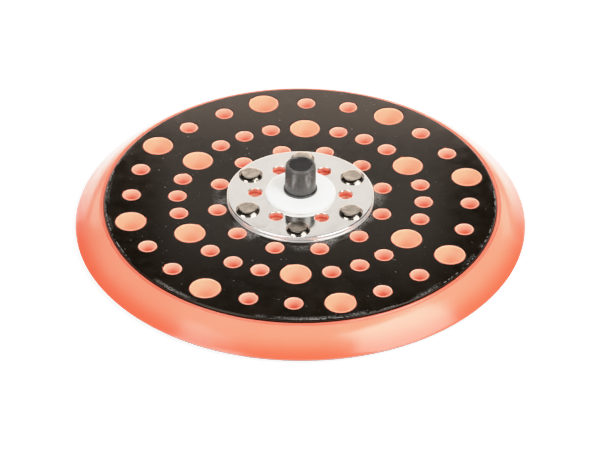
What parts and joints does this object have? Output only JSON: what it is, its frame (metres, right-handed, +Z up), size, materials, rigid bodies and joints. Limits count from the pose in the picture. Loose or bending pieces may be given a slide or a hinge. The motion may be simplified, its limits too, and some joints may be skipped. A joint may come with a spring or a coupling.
{
  "type": "sander backing pad",
  "caption": "Round flexible backing pad for a random orbital sander, with dust holes, a hook face underneath and a male threaded stud under a pull-off cap.",
  "frame": {"origin": "centre of the hook face, at floor level when the pad lies on it", "axes": "+Z up along the stud; +X to the right and -Y towards the viewer; two of the hub's air holes lie on X"},
  "size_m": [0.15, 0.15, 0.0235],
  "materials": {
    "cap_plastic": "satin",
    "spacer_plastic": "satin",
    "stud_steel": "satin",
    "rivet_steel": "matte",
    "hub_steel": "polished",
    "underplate_steel": "satin",
    "plate_plastic": "satin",
    "clamp_steel": "satin",
    "foam": "matte",
    "hook_sheet": "matte"
  },
  "bodies": {
    "pad": {"threaded_stud": "stud_steel", "rivets": "rivet_steel", "hub_plate": "hub_steel", "hub_underplate": "underplate_steel", "backing_plate": "plate_plastic", "clamp_disc": "clamp_steel", "foam_body": "foam", "hook_face": "hook_sheet"},
    "spacer": {"spacer_washer": "spacer_plastic"},
    "cap": {"stud_cap": "cap_plastic"}
  },
  "joints": [
    {"name": "spacer_lift", "type": "slide", "parent": "pad", "child": "spacer", "axis": [0, 0, 1], "range_m": [0, 0.012]},
    {"name": "cap_pull", "type": "slide", "parent": "spacer", "child": "cap", "axis": [0, 0, 1], "range_m": [0, 0.03]}
  ]
}
